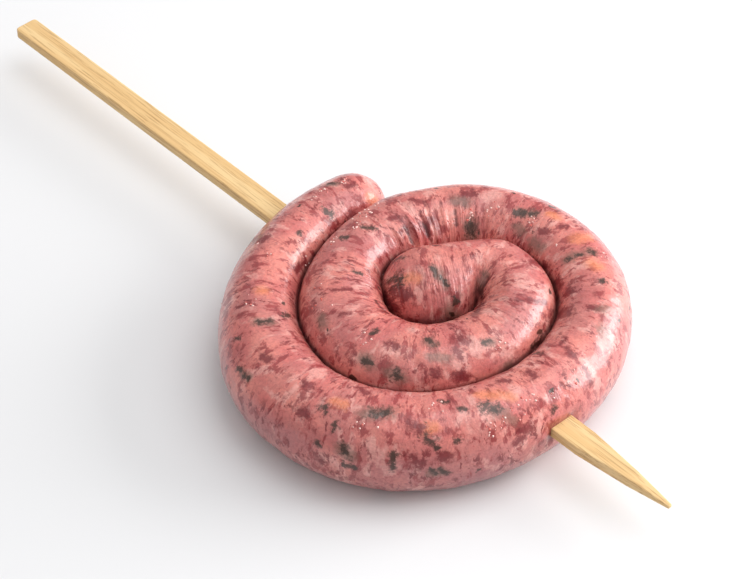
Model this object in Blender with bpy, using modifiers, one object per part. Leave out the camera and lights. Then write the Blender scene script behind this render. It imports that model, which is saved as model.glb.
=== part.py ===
"""Coiled sausage on a flat bamboo skewer.

One raw sausage, wound flat into a coil, with a flat skewer pushed through its side.
Metres, +Z up. The table is z = 0, and the origin is on the table under the straight inner
end of the sausage. The skewer runs along X, with its point at +X.
"""
import math

import bmesh
import bpy
import numpy as np

# Route of the sausage, seen from above, from its inner end outward
STUB_LENGTH = 0.0239        # straight inner end, up to the first bend
STUB_TO_ORIGIN = 0.0129     # from the inner tip to the origin
FIRST_BEND = 0.0105         # radius of the tight first bend
COIL_START = 0.0114         # bend radius that the turns would start from
COIL_PITCH = 0.0212         # from one turn to the next
FRONT_WIDENING = 0.00145    # extra bend radius half a turn after the first bend
WIDENING_REACH = 0.3        # share of a turn over which that fades
BEND_BLEND = 0.214          # share of a turn in which the first bend opens into the coil
TURNS = 1.948               # turns of heading from the inner tip to the outer one
START_HEADING = math.radians(54.5)
STRETCH = 0.065             # the coil is this much longer one way and shorter the other
STRETCH_HEADING = math.radians(101)
FRONT_DRIFT = 0.0023        # half a turn on, the route lies this much further inward
FRONT_DRIFT_TURNS = 0.17    # share of a turn over which that fades
SIDE_LEAN = 0.0016          # before the right side the last turn is flatter, and after it fuller
SIDE_LEAN_AT = 1.2          # turns from the inner tip to the middle of that lean
SIDE_LEAN_TURNS = 0.16
SIDE_LEAN_WAVE = 2.2        # how soon the lean changes side
END_DRIFT = 0.0028          # the outer end lies this much further inward
END_DRIFT_TURNS = 0.25      # share of a turn over which it leans there

# Section of the sausage
HALF_WIDTH = 0.0105         # where nothing presses on it
HALF_HEIGHT = 0.0125
STUB_OUTER = 0.0118         # the inner end is fatter
OUTER_FADE = 0.31           # share of a turn in which that fades
STUB_INNER = 0.0141         # it bulges most on the inside of the first bend
INNER_FADE = 0.07           # share of a turn in which the bulge fades
FOLD_RUN = 0.004            # length before the bend over which that bulge draws in
FRONT_SWELL = 0.078         # the turns are thicker on one side of the coil
SWELL_HEADING = math.radians(222)
HEIGHT_FADE = -0.0012       # change of the half height from the inner end to the outer one
END_SLIMMING = 0.0010       # and a further loss of half height at the outer end
UNEVEN = 0.012              # share by which the thickness wanders along the length
LONG_WAVE = 0.0075          # length over which it wanders, for each radian
SHORT_WAVE = 0.0049
SAG = 0.09                  # share of the half height that is pressed flat on the table
GAP = 0.0003                # between neighbouring turns
PRESS_SPREAD = 0.12         # share by which a turn reaches further to meet the next one
CORE_TURNS = 0.15           # up to here the sausage is firm, and the next turn yields to it
NEXT_TURN = 0.3             # two places this many turns apart can press on each other
FOLD_SHARE = 0.88           # the inside of a bend stays this far short of its centre
ROUND_FREE = 2.0            # exponent of the section on a free side
ROUND_PRESSED = 2.35        # and on a side that a neighbour presses flat
PRESSED_BY = 0.0006         # overlap at which a side counts as fully pressed

# Skewer
SKEWER_LENGTH = 0.250
SKEWER_WIDTH = 0.0071
SKEWER_THICKNESS = 0.0029
SKEWER_Y = -0.0085
SKEWER_HEIGHT = 0.0119      # its centre above the table
TIP_X = 0.0926
TIP_TAPER = 0.0281
TIP_THINNING = 0.0125
TIP_WIDTH = 0.0012
TIP_THICKNESS = 0.0010
HANDLE_CORNER = 0.0010
EDGE_ROUNDING = 0.0003
SLOT_LENGTH = 0.130         # the cutter reaches from one side of the coil to the other
SLOT_END = 0.067

# Mesh
TRACE_STEP = 0.00025
SECTION_STEP = 0.0027
SECTION_SIDES = 28
DOME_RINGS = 7
MERGE = 0.00001
TABLE_SNAP = 0.00002        # a point this close to the table lies on it
NO_HIT = 1.0                # distance given for a ray that meets nothing

COIL_NAME = "sausage_coil_on_skewer"


def clear_scene():
    for item in list(bpy.data.objects):
        bpy.data.objects.remove(item, do_unlink=True)


def make_collection(name):
    group = bpy.data.collections.new(name)
    bpy.context.scene.collection.children.link(group)
    return group


def make_material(name, colour, roughness):
    material = bpy.data.materials.new(name)
    material.use_nodes = True
    shader = material.node_tree.nodes["Principled BSDF"]
    shader.inputs["Base Color"].default_value = (*colour, 1.0)
    shader.inputs["Roughness"].default_value = roughness
    shader.inputs["Metallic"].default_value = 0.0
    return material


def bend_radius(turned):
    """Radius of the route after it has turned through this many turns."""
    coil = COIL_START + COIL_PITCH * turned
    coil += FRONT_WIDENING * math.exp(-(((turned - 0.5) / WIDENING_REACH) ** 2))
    share = 1.0 - math.exp(-((turned / BEND_BLEND) ** 2))
    return FIRST_BEND + (coil - FIRST_BEND) * share


def left_of(travel):
    """Unit vectors to the left of the travel, which is outward on this coil."""
    left = np.stack([-travel[:, 1], travel[:, 0]], axis=1)
    return left / np.linalg.norm(left, axis=1)[:, None]


def ray_to(line, start, ray, wanted=None):
    """Distance along a ray to a line of points, and the place in the line where it hits."""
    offset = line - start
    away = offset @ ray
    aside = offset[:, 0] * ray[1] - offset[:, 1] * ray[0]
    crossing = aside[:-1] * aside[1:] <= 0.0
    share = np.abs(aside[:-1]) / np.maximum(np.abs(aside[:-1]) + np.abs(aside[1:]), 1e-12)
    reach = away[:-1] + (away[1:] - away[:-1]) * share
    crossing &= reach > 0.0
    if wanted is not None:
        crossing &= wanted[:-1]
    if not crossing.any():
        return NO_HIT, None
    hit = int(np.argmin(np.where(crossing, reach, NO_HIT)))
    return float(reach[hit]), hit


def soft_lower(a, b, blend=0.0002):
    """The lower of two sizes, with a rounded change from one to the other."""
    low, high = min(a, b), max(a, b)
    return low - blend * math.log(1.0 + math.exp(-(high - low) / blend))


def smooth_step(share):
    share = min(max(share, 0.0), 1.0)
    return share * share * (3.0 - 2.0 * share)


def pressed(room, natural):
    """Exponent of the section on a side, flatter where a neighbour presses on it."""
    return ROUND_FREE + (ROUND_PRESSED - ROUND_FREE) * smooth_step((natural - room) / PRESSED_BY)


class Route:
    """Centre line of the sausage, with its natural size at every point of it."""

    def __init__(self):
        self.trace()
        self.find_bends()
        self.set_sizes()
        self.outline_core()

    def trace(self):
        """Length, turns of heading, place and sideways direction along the route."""
        length, turned = 0.0, 0.0
        lengths, turns = [0.0], [0.0]
        while turned < TURNS:
            length += TRACE_STEP
            if length > STUB_LENGTH:
                turned += TRACE_STEP / (2.0 * math.pi * bend_radius(turned))
            lengths.append(length)
            turns.append(turned)
        self.lengths, self.turns = np.array(lengths), np.array(turns)
        self.heading = START_HEADING - 2.0 * math.pi * self.turns
        steps = np.stack([np.cos(self.heading), np.sin(self.heading)], axis=1) * TRACE_STEP
        along = np.array([math.cos(STRETCH_HEADING), math.sin(STRETCH_HEADING)])
        pull = (1.0 - STRETCH) * np.eye(2) + 2.0 * STRETCH * np.outer(along, along)
        steps = steps @ pull
        self.spread = (1.0 - STRETCH ** 2) * TRACE_STEP / np.linalg.norm(steps, axis=1)
        self.place = np.vstack([[0.0, 0.0], np.cumsum(steps[:-1], axis=0)])
        self.late = np.clip((self.turns - (TURNS - END_DRIFT_TURNS)) / END_DRIFT_TURNS, 0.0, 1.0) ** 2
        drift = FRONT_DRIFT * np.exp(-((self.turns - 0.5) / FRONT_DRIFT_TURNS) ** 2) + END_DRIFT * self.late
        past = (self.turns - SIDE_LEAN_AT) / SIDE_LEAN_TURNS
        drift -= SIDE_LEAN * np.sin(SIDE_LEAN_WAVE * past) * np.exp(-past ** 2)
        self.place -= left_of(steps) * drift[:, None]
        self.place -= self.place[round(STUB_TO_ORIGIN / TRACE_STEP)]
        self.across = left_of(np.gradient(self.place, axis=0))

    def find_bends(self):
        """Sharpest bend within one section's step of every point, in radians a metre."""
        angle = np.unwrap(np.arctan2(self.across[:, 1], self.across[:, 0]))
        bend = np.abs(np.gradient(angle)) / TRACE_STEP
        reach = round(SECTION_STEP / TRACE_STEP)
        padded = np.pad(bend, reach, mode="edge")
        self.bend = np.max([padded[k:k + len(bend)] for k in range(2 * reach + 1)], axis=0)

    def set_sizes(self):
        swell = 1.0 + UNEVEN * np.sin(self.lengths / LONG_WAVE + 0.6)
        swell += 0.7 * UNEVEN * np.sin(self.lengths / SHORT_WAVE + 2.1)
        swell += FRONT_SWELL * np.cos(self.heading - SWELL_HEADING) * np.minimum(self.turns, 1.0)
        fat_outer = (STUB_OUTER - HALF_WIDTH) * np.exp(-(self.turns / OUTER_FADE) ** 2)
        fat_inner = (STUB_INNER - HALF_WIDTH) * np.exp(-(self.turns / INNER_FADE) ** 2)
        self.outer = (HALF_WIDTH + fat_outer) * swell * self.spread
        self.inner = (HALF_WIDTH + fat_inner) * swell * self.spread
        self.reach_out = self.outer * (1.0 + PRESS_SPREAD * np.minimum(self.turns / NEXT_TURN, 1.0))
        self.reach_in = self.inner * (1.0 + PRESS_SPREAD * np.clip((self.turns - 0.25) / 0.15, 0.0, 1.0))
        self.height = HALF_HEIGHT + HEIGHT_FADE * (self.turns / TURNS - 0.5) - END_SLIMMING * self.late
        self.first_dome = (self.outer[0] + self.inner[0]) / 2.0
        self.last_dome = HALF_WIDTH

    def outline_core(self):
        """The firm inner end from above: along its outer side, round the tip, along its inner side."""
        side_out, side_in = [], []
        for index in np.nonzero(self.turns <= CORE_TURNS)[0]:
            outer, inner = self.section(self.lengths[index])[:2]
            middle, reach = (outer - inner) / 2.0, (outer + inner) / 2.0 * self.shrink(self.lengths[index])
            side_out.append(self.place[index] + self.across[index] * (middle + reach))
            side_in.append(self.place[index] + self.across[index] * (middle - reach))
        self.core_outline = np.array(side_out[::-1] + side_in)

    def shrink(self, length):
        """Share of the full section that is left in the round ends."""
        short = max((self.first_dome - length) / self.first_dome, 0.0)
        short = max((length - (self.lengths[-1] - self.last_dome)) / self.last_dome, short)
        return math.sqrt(max(1.0 - short * short, 0.0))

    def room(self, index, side):
        """Half width that one side would have (1 outward, -1 inward), and the room it has."""
        free = self.outer if side > 0 else self.inner
        if self.lengths[index] <= STUB_LENGTH:
            return free[index], NO_HIT
        own, other = (self.reach_out, self.reach_in) if side > 0 else (self.reach_in, self.reach_out)
        start, ray = self.place[index], self.across[index] * side
        far = np.abs(self.turns - self.turns[index]) > NEXT_TURN
        past_core = side < 0 and self.turns[index] > NEXT_TURN
        if past_core:
            far &= self.turns > 0.8 * CORE_TURNS
        natural, room = free[index], NO_HIT
        distance, hit = ray_to(self.place, start, ray, far)
        if hit is not None:
            natural = own[index]
            room = (distance - GAP) * own[index] / (own[index] + other[hit])
            firm = max(1.0 - self.turns[index] / CORE_TURNS, 0.0)
            room += firm * (own[index] - room)
        if past_core:
            distance, hit = ray_to(self.core_outline, start, ray)
            if hit is not None:
                natural = own[index]
                room = min(room, distance - GAP)
        return natural, room

    def section(self, length):
        """Half widths outward and inward, half height and how pressed each side is."""
        index = self.index(length)
        natural_out, room_out = self.room(index, 1)
        natural_in, room_in = self.room(index, -1)
        outer, inner = soft_lower(natural_out, room_out), soft_lower(natural_in, room_in)
        if length > STUB_LENGTH:
            inner = soft_lower(inner, FOLD_SHARE / max(self.bend[index], 1.0))
        else:
            late = smooth_step((length - (STUB_LENGTH - FOLD_RUN)) / FOLD_RUN)
            inner += (min(inner, FOLD_SHARE * FIRST_BEND) - inner) * late
        press_out, press_in = pressed(room_out, natural_out), pressed(room_in, natural_in)
        return outer, inner, self.height[index], press_out, press_in

    def index(self, length):
        return min(round(length / TRACE_STEP), len(self.lengths) - 1)

    def stations(self):
        """Places along the route that get a section."""
        total = self.lengths[-1]
        inside = int((total - self.first_dome - self.last_dome) / SECTION_STEP)
        rise = 1.0 - np.cos(np.pi / 2 * np.arange(1, DOME_RINGS + 1) / (DOME_RINGS + 0.5))
        middle = np.linspace(self.first_dome, total - self.last_dome, inside + 1)
        return np.concatenate([self.first_dome * rise, middle, total - self.last_dome * rise[::-1]])


def section_points(outer, inner, height, press_out, press_in, shrink):
    """Closed outline across the route: sideways, positive outward, and up from the table."""
    centre, rise = height * (1.0 - SAG), height * shrink
    middle = (outer - inner) / 2.0 * (1.0 - shrink)
    cut = min(centre / rise, 0.995)
    start = -math.pi / 2 + math.acos(cut ** (press_out / 2.0))
    stop = 1.5 * math.pi - math.acos(cut ** (press_in / 2.0))
    points = []
    for angle in np.linspace(start, stop, SECTION_SIDES):
        side, up = math.cos(angle), math.sin(angle)
        reach, power = (outer, 2.0 / press_out) if side >= 0.0 else (inner, 2.0 / press_in)
        sideways = middle + math.copysign(abs(side) ** power, side) * reach * shrink
        level = centre + math.copysign(abs(up) ** power, up) * rise
        points.append((sideways, level if level > TABLE_SNAP else 0.0))
    return points


def build_sausage():
    """A loft of unlike sections along the coiled route, closed by a point at each end."""
    route = Route()
    mesh = bmesh.new()
    rings = []
    for length in route.stations():
        index = route.index(length)
        ring = []
        for sideways, level in section_points(*route.section(length), route.shrink(length)):
            x, y = route.place[index] + route.across[index] * sideways
            ring.append(mesh.verts.new((x, y, level)))
        rings.append(ring)
    for ring, following in zip(rings, rings[1:]):
        for side in range(SECTION_SIDES):
            after = (side + 1) % SECTION_SIDES
            mesh.faces.new((ring[side], ring[after], following[after], following[side]))
    for ring, index in ((rings[0], 0), (rings[-1], -1)):
        level = sum(vertex.co.z for vertex in ring) / SECTION_SIDES
        middle = (route.outer[index] - route.inner[index]) / 2.0
        x, y = route.place[index] + route.across[index] * middle
        pole = mesh.verts.new((x, y, level))
        for side in range(SECTION_SIDES):
            mesh.faces.new((ring[side], ring[(side + 1) % SECTION_SIDES], pole))
    bmesh.ops.recalc_face_normals(mesh, faces=mesh.faces)
    return finish_mesh(mesh, "sausage")


def finish_mesh(mesh, name):
    data = bpy.data.meshes.new(name)
    mesh.to_mesh(data)
    mesh.free()
    data.shade_smooth()
    return bpy.data.objects.new(name, data)


def tip_size(x, start, full, end):
    """Size across the skewer where it tapers from full at start to end at the tip."""
    share = min(max((x - start) / (TIP_X - start), 0.0), 1.0)
    return full + (end - full) * share


def stick(length, width, thickness, far_end):
    """A flat box along X on the skewer's line, up to x = far_end."""
    mesh = bmesh.new()
    bmesh.ops.create_cube(mesh, size=1.0)
    bmesh.ops.scale(mesh, vec=(length, width, thickness), verts=mesh.verts)
    centre = (far_end - length / 2.0, SKEWER_Y, SKEWER_HEIGHT)
    bmesh.ops.translate(mesh, vec=centre, verts=mesh.verts)
    return mesh


def build_skewer():
    """The skewer: narrower from its shoulder on, and thinner close to the point."""
    mesh = stick(SKEWER_LENGTH, SKEWER_WIDTH, SKEWER_THICKNESS, TIP_X)
    shoulder, thinning = TIP_X - TIP_TAPER, TIP_X - TIP_THINNING
    for x in (shoulder, thinning):
        everything = list(mesh.verts) + list(mesh.edges) + list(mesh.faces)
        bmesh.ops.bisect_plane(mesh, geom=everything, plane_co=(x, 0, 0), plane_no=(1, 0, 0))
    for vertex in mesh.verts:
        width = tip_size(vertex.co.x, shoulder, SKEWER_WIDTH, TIP_WIDTH)
        thickness = tip_size(vertex.co.x, thinning, SKEWER_THICKNESS, TIP_THICKNESS)
        vertex.co.y = SKEWER_Y + math.copysign(width / 2.0, vertex.co.y - SKEWER_Y)
        vertex.co.z = SKEWER_HEIGHT + math.copysign(thickness / 2.0, vertex.co.z - SKEWER_HEIGHT)
    handle = TIP_X - SKEWER_LENGTH
    corners = [edge for edge in mesh.edges
               if all(abs(vertex.co.x - handle) < MERGE for vertex in edge.verts)
               and abs(edge.verts[0].co.z - edge.verts[1].co.z) > SKEWER_THICKNESS / 2.0]
    bmesh.ops.bevel(mesh, geom=corners, offset=HANDLE_CORNER, segments=3, affect="EDGES", profile=0.5)
    bmesh.ops.recalc_face_normals(mesh, faces=mesh.faces)
    skewer = finish_mesh(mesh, "skewer")
    bevel = skewer.modifiers.new("rounded edges", "BEVEL")
    bevel.width = EDGE_ROUNDING
    bevel.segments = 2
    bevel.limit_method = "ANGLE"
    bevel.angle_limit = math.radians(30)
    return skewer


def cut_skewer_slot(sausage, cutters):
    """The slot that the skewer makes through the turns it crosses."""
    mesh = stick(SLOT_LENGTH, SKEWER_WIDTH + 2.0 * GAP, SKEWER_THICKNESS + 2.0 * GAP, SLOT_END)
    cutter = finish_mesh(mesh, "skewer_slot_cutter")
    cutter.hide_render = True
    cutter.display_type = "WIRE"
    cutters.objects.link(cutter)
    slot = sausage.modifiers.new("skewer slot", "BOOLEAN")
    slot.operation = "DIFFERENCE"
    slot.solver = "EXACT"
    slot.object = cutter


def main():
    clear_scene()
    parts = make_collection(COIL_NAME)
    cutters = make_collection("cutters")
    sausage = build_sausage()
    sausage.data.materials.append(make_material("raw_sausage", (0.56, 0.22, 0.20), 0.35))
    parts.objects.link(sausage)
    skewer = build_skewer()
    skewer.data.materials.append(make_material("bamboo", (0.86, 0.66, 0.42), 0.6))
    parts.objects.link(skewer)
    cut_skewer_slot(sausage, cutters)


main()
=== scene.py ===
"""Look of the coiled sausage on its flat bamboo skewer.

A finer tube along the same route stands for the sausage's solid, with minced meat under a
thin wet casing. The skewer keeps its solid and gets a bamboo finish. Metres, +Z up, in the
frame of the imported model: the table is z = 0 and the skewer runs along X.
"""
import math
import random

import bmesh
import bpy
import numpy as np
from mathutils import Matrix, Vector, noise
from mathutils.bvhtree import BVHTree


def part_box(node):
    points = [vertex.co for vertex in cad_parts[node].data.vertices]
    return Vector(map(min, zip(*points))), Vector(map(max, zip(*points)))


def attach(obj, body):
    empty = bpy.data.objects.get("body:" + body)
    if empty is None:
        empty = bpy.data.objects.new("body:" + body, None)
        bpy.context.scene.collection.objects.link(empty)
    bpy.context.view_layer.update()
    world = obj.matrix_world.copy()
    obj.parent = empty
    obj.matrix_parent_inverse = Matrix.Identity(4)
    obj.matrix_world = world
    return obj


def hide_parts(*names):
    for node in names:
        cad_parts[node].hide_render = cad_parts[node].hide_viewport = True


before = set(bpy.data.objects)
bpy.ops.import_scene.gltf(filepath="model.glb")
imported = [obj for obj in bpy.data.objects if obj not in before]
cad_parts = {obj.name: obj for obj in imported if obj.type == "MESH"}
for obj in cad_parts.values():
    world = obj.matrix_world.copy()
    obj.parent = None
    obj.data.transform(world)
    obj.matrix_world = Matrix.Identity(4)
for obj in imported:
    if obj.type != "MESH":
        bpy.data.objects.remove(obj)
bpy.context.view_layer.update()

# Route of the sausage, seen from above, as in the part's own source
STUB_LENGTH = 0.0239        # straight inner end, up to the first bend
STUB_TO_ORIGIN = 0.0129     # from the inner tip to the origin
FIRST_BEND = 0.0105         # radius of the tight first bend
COIL_START = 0.0114         # bend radius that the turns would start from
COIL_PITCH = 0.0212         # from one turn to the next
FRONT_WIDENING = 0.00145    # extra bend radius half a turn after the first bend
WIDENING_REACH = 0.3        # share of a turn over which that fades
BEND_BLEND = 0.214          # share of a turn in which the first bend opens into the coil
TURNS = 1.948               # turns of heading from the inner tip to the outer one
START_HEADING = math.radians(54.5)
STRETCH = 0.065             # the coil is this much longer one way and shorter the other
STRETCH_HEADING = math.radians(101)
FRONT_DRIFT = 0.0023        # half a turn on, the route lies this much further inward
FRONT_DRIFT_TURNS = 0.17    # share of a turn over which that fades
SIDE_LEAN = 0.0016          # before the right side the last turn is flatter, and after it fuller
SIDE_LEAN_AT = 1.2          # turns from the inner tip to the middle of that lean
SIDE_LEAN_TURNS = 0.16
SIDE_LEAN_WAVE = 2.2        # how soon the lean changes side
END_DRIFT = 0.0028          # the outer end lies this much further inward
END_DRIFT_TURNS = 0.25      # share of a turn over which it leans there

# Section of the sausage, as in the part's own source but for GAP, PRESS_SPREAD and FOLD_SHARE,
# which close the turns and the fold up more than the solid does
HALF_WIDTH = 0.0105         # where nothing presses on it
HALF_HEIGHT = 0.0125
STUB_OUTER = 0.0118         # the inner end is fatter
OUTER_FADE = 0.31           # share of a turn in which that fades
STUB_INNER = 0.0141         # it bulges most on the inside of the first bend
INNER_FADE = 0.07           # share of a turn in which the bulge fades
FOLD_RUN = 0.004            # length before the bend over which that bulge draws in
FRONT_SWELL = 0.078         # the turns are thicker on one side of the coil
SWELL_HEADING = math.radians(222)
HEIGHT_FADE = -0.0012       # change of the half height from the inner end to the outer one
END_SLIMMING = 0.0010       # and a further loss of half height at the outer end
UNEVEN = 0.012              # share by which the thickness wanders along the length
LONG_WAVE = 0.0075          # length over which it wanders, for each radian
LONG_PHASE = 0.6
SHORT_WAVE = 0.0049
SHORT_PHASE = 2.1
SHORT_SHARE = 0.7           # of the long wave's height
SAG = 0.09                  # share of the half height that is pressed flat on the table
GAP = -0.0014               # the skins of neighbouring turns sink a little into each other
PRESS_SPREAD = 0.24         # share by which a turn reaches further to meet the next one
INNER_REACH_FROM = 0.25     # turns after which it also reaches inward
INNER_REACH_OVER = 0.15     # turns over which that sets in
CORE_TURNS = 0.15           # up to here the sausage is firm, and the next turn yields to it
CORE_OVERLAP = 0.8          # share of those turns past which the centre line counts as well
NEXT_TURN = 0.3             # two places this many turns apart can press on each other
FOLD_SHARE = 0.96           # the inner half width is at most this share of a bend's radius
ROUND_FREE = 2.0            # exponent of the section on a free side
ROUND_PRESSED = 2.35        # and on a side that a neighbour presses flat
PRESSED_BY = 0.0006         # overlap at which a side counts as fully pressed

# Skewer, as in the part's own source
SKEWER_WIDTH = 0.0071
SKEWER_THICKNESS = 0.0029
SKEWER_Y = -0.0085
SKEWER_HEIGHT = 0.0119      # its centre above the table

# Fine mesh of the sausage
TRACE_STEP = 0.00025
BEND_WINDOW = 0.0027        # the sharpest bend is looked for this far each way
SECTION_STEP = 0.0005
SECTION_SIDES = 96
DOME_RINGS = 26
TABLE_SNAP = 0.00002        # a point this close to the table lies on it
LOWEST_START = 0.995        # an outline starts at most this share of its half height down
NO_HIT = 1.0                # distance given for a ray that meets nothing
TINY = 1e-12                # keeps a divisor above zero
AROUND = 0.0115             # mean radius, which turns an angle around the tube into a length

# Relief of the casing, and the reach of the painted shade in its creases. A scale is a noise's
# waves in a metre
INSET = 0.00022             # keeps the relief inside the solid's box
LUMP_DEPTH = 0.00020
LUMP_SCALE = 210.0
SMALL_LUMP_SCALE = 430.0
SMALL_LUMP_SHARE = 0.5
GRAIN_DEPTH = 0.00006
GRAIN_SCALE = 1100.0
DIMPLE_DEPTH = 0.0007       # the casing is drawn in where the skewer goes through
DIMPLE_REACH = 0.0016
END_EASE = 0.004            # length at each end over which the relief sets in
END_RELIEF = 0.25           # share of it that is left at the tip
TABLE_EASE = 0.0015         # height above the table over which it sets in
CREASE_REACH = 0.00062      # how far from the next turn the painted crease shade reaches
CREASE_VIEW = 0.025         # a crease's far side is looked for this far
RAY_START = 0.0003          # and from this far off the casing

# Camera, at the photograph's angle
CAMERA_PLACE = Vector((0.3584, -0.3596, 0.5031))
CAMERA_TARGET = Vector((-0.0189, -0.0004, 0.0))
CAMERA_ROLL = math.radians(0.54)
CAMERA_LENS = 130.68
CAMERA_SENSOR = 36.0
PHOTO_WIDTH, PHOTO_HEIGHT = 752, 579

# Strokes on the sausage that the photograph shows. Each goes from one pixel of it to
# another, with half its width in metres
HERBS = (
    (328, 184, 334, 182, 0.0007), (326, 210, 331, 214, 0.0011), (363, 227, 372, 227, 0.0008),
    (342, 236, 347, 236, 0.0009), (393, 260, 403, 257, 0.0009), (393, 279, 399, 278, 0.0016),
    (431, 267, 438, 274, 0.0008), (441, 278, 446, 284, 0.0005), (517, 212, 523, 213, 0.0011),
    (531, 214, 534, 212, 0.0009), (471, 226, 471, 234, 0.0012), (568, 259, 570, 258, 0.0006),
    (578, 254, 580, 253, 0.0007), (590, 250, 594, 253, 0.0007), (600, 281, 603, 280, 0.0008),
    (534, 346, 541, 340, 0.0009), (535, 353, 539, 352, 0.0008), (538, 333, 543, 331, 0.0005),
    (488, 406, 493, 409, 0.0016), (553, 414, 555, 407, 0.0007), (396, 375, 397, 378, 0.0012),
    (374, 413, 383, 411, 0.0014), (461, 409, 465, 409, 0.0008), (442, 400, 445, 402, 0.0008),
    (393, 455, 393, 468, 0.0009), (334, 424, 335, 430, 0.0007), (342, 446, 345, 452, 0.0010),
    (344, 465, 355, 468, 0.0008), (428, 438, 436, 445, 0.0011), (456, 439, 459, 439, 0.0007),
    (258, 322, 269, 321, 0.0009), (283, 315, 288, 314, 0.0008), (235, 338, 238, 338, 0.0007),
    (236, 370, 240, 370, 0.0007), (243, 376, 248, 378, 0.0007), (427, 339, 434, 342, 0.0008),
    (371, 333, 377, 329, 0.0006), (353, 271, 362, 273, 0.0006), (299, 232, 300, 232, 0.0007),
    (455, 301, 457, 301, 0.0009), (486, 342, 489, 341, 0.0007), (434, 244, 438, 244, 0.0005),
    (551, 206, 554, 207, 0.0007), (365, 361, 368, 363, 0.0009), (316, 442, 318, 445, 0.0009),
    (431, 469, 437, 473, 0.0006), (441, 472, 449, 474, 0.0007), (322, 407, 325, 409, 0.0010),
)
GREY_PATCHES = (
    (495, 410, 514, 419, 0.0016), (567, 258, 594, 251, 0.0013), (601, 309, 608, 308, 0.0015),
    (602, 328, 605, 340, 0.0017), (449, 313, 455, 316, 0.0019), (471, 222, 472, 236, 0.0018),
    (458, 201, 464, 202, 0.0018), (517, 228, 520, 232, 0.0015), (533, 243, 538, 249, 0.0017),
    (364, 359, 370, 363, 0.0016), (392, 374, 400, 377, 0.0018), (430, 356, 448, 358, 0.0013),
    (366, 412, 390, 412, 0.0017), (340, 448, 350, 456, 0.0016), (432, 473, 440, 474, 0.0013),
    (436, 268, 446, 286, 0.0012), (320, 318, 322, 326, 0.0013), (257, 321, 272, 321, 0.0014),
    (329, 185, 336, 184, 0.0010), (484, 342, 492, 342, 0.0012), (428, 340, 432, 342, 0.0014),
    (242, 373, 248, 377, 0.0013), (519, 212, 534, 213, 0.0013), (480, 290, 485, 275, 0.0012),
)
LEAN_PATCHES = (
    (413, 200, 421, 201, 0.0009), (466, 193, 474, 195, 0.0010), (393, 217, 401, 219, 0.0010),
    (425, 226, 431, 219, 0.0009), (540, 232, 545, 231, 0.0009), (348, 185, 353, 184, 0.0008),
    (557, 280, 561, 285, 0.0010), (566, 292, 572, 290, 0.0011), (560, 313, 568, 312, 0.0018),
    (588, 307, 594, 307, 0.0009), (560, 343, 566, 337, 0.0005), (568, 351, 575, 354, 0.0010),
    (530, 372, 535, 375, 0.0012), (500, 381, 509, 381, 0.0008), (522, 430, 531, 427, 0.0012),
    (518, 443, 523, 438, 0.0010), (586, 368, 592, 385, 0.0008), (391, 343, 396, 347, 0.0011),
    (461, 339, 466, 341, 0.0012), (457, 349, 461, 358, 0.0008), (457, 375, 465, 376, 0.0013),
    (434, 372, 439, 373, 0.0009), (333, 290, 352, 289, 0.0006), (341, 314, 350, 313, 0.0006),
    (393, 289, 405, 296, 0.0014), (386, 296, 396, 308, 0.0012), (252, 240, 264, 238, 0.0014),
    (533, 262, 545, 265, 0.0010), (530, 300, 545, 301, 0.0007), (296, 268, 306, 262, 0.0008),
    (414, 424, 420, 428, 0.0012), (360, 388, 364, 392, 0.0010), (306, 383, 312, 386, 0.0010),
    (440, 455, 448, 458, 0.0011), (300, 410, 306, 414, 0.0011), (262, 356, 270, 358, 0.0009),
    (414, 457, 421, 466, 0.0011), (318, 459, 322, 463, 0.0009), (563, 225, 568, 226, 0.0007),
)
# The fold strokes are painted shade along the folds of the casing, in deep red
FOLD_SHADE_STROKES = (
    (474, 314, 481, 292, 0.0012), (481, 292, 489, 277, 0.0006), (404, 226, 414, 243, 0.0006),
    (424, 224, 429, 236, 0.0005), (376, 300, 388, 312, 0.0005), (455, 210, 457, 226, 0.0004),
)
ORANGE_PATCHES = (
    (577, 238, 588, 236, 0.0018), (548, 214, 558, 217, 0.0012), (408, 279, 414, 279, 0.0014),
    (478, 393, 512, 396, 0.0014), (260, 291, 265, 291, 0.0016), (428, 427, 433, 427, 0.0015),
    (590, 262, 598, 266, 0.0016), (370, 197, 376, 200, 0.0013), (334, 402, 342, 405, 0.0014),
)
FAT_PATCHES = (
    (489, 195, 497, 194, 0.0018), (575, 266, 585, 264, 0.0015), (522, 282, 534, 285, 0.0018),
    (433, 222, 438, 234, 0.0010), (387, 350, 396, 352, 0.0015), (460, 388, 470, 384, 0.0015),
    (593, 372, 598, 384, 0.0013), (356, 357, 362, 359, 0.0013), (547, 400, 553, 396, 0.0013),
    (410, 328, 416, 330, 0.0012), (455, 365, 462, 366, 0.0012), (302, 397, 310, 394, 0.0014),
)

# Places where tiny beads press through the casing: pixel, how many and how far they spread
BEADS = (
    (366, 210, 26, 0.0040), (358, 222, 10, 0.0026), (333, 240, 8, 0.0016), (340, 183, 14, 0.0030),
    (320, 195, 10, 0.0034), (468, 215, 10, 0.0020), (492, 209, 8, 0.0030), (555, 245, 3, 0.0008),
    (532, 220, 8, 0.0020), (493, 427, 14, 0.0026), (514, 415, 10, 0.0034), (530, 395, 10, 0.0026),
    (556, 395, 3, 0.0010), (575, 378, 6, 0.0030), (500, 345, 8, 0.0016), (603, 252, 8, 0.0024),
    (318, 300, 10, 0.0050), (366, 338, 8, 0.0026), (366, 430, 6, 0.0034), (268, 254, 4, 0.0014),
    (310, 262, 6, 0.0040), (440, 408, 6, 0.0034), (250, 300, 6, 0.0034), (450, 220, 5, 0.0016),
    (258, 241, 3, 0.0008),
)
HIDDEN_BEADS = 60           # where the photograph doesn't look
BEAD_SIZES = (0.00018, 0.00042)     # smallest and largest radius
BEAD_JITTER = 0.0003
BEAD_SUNK = 0.25            # share of its radius
BEAD_FLATTEST = 0.7
CLUSTER_SHAPE = 1.3         # clusters are this much shorter around the tube than along it
CLUSTER_CROWDING = 0.8      # below 1, more of a cluster's beads lie further along the tube

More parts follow.
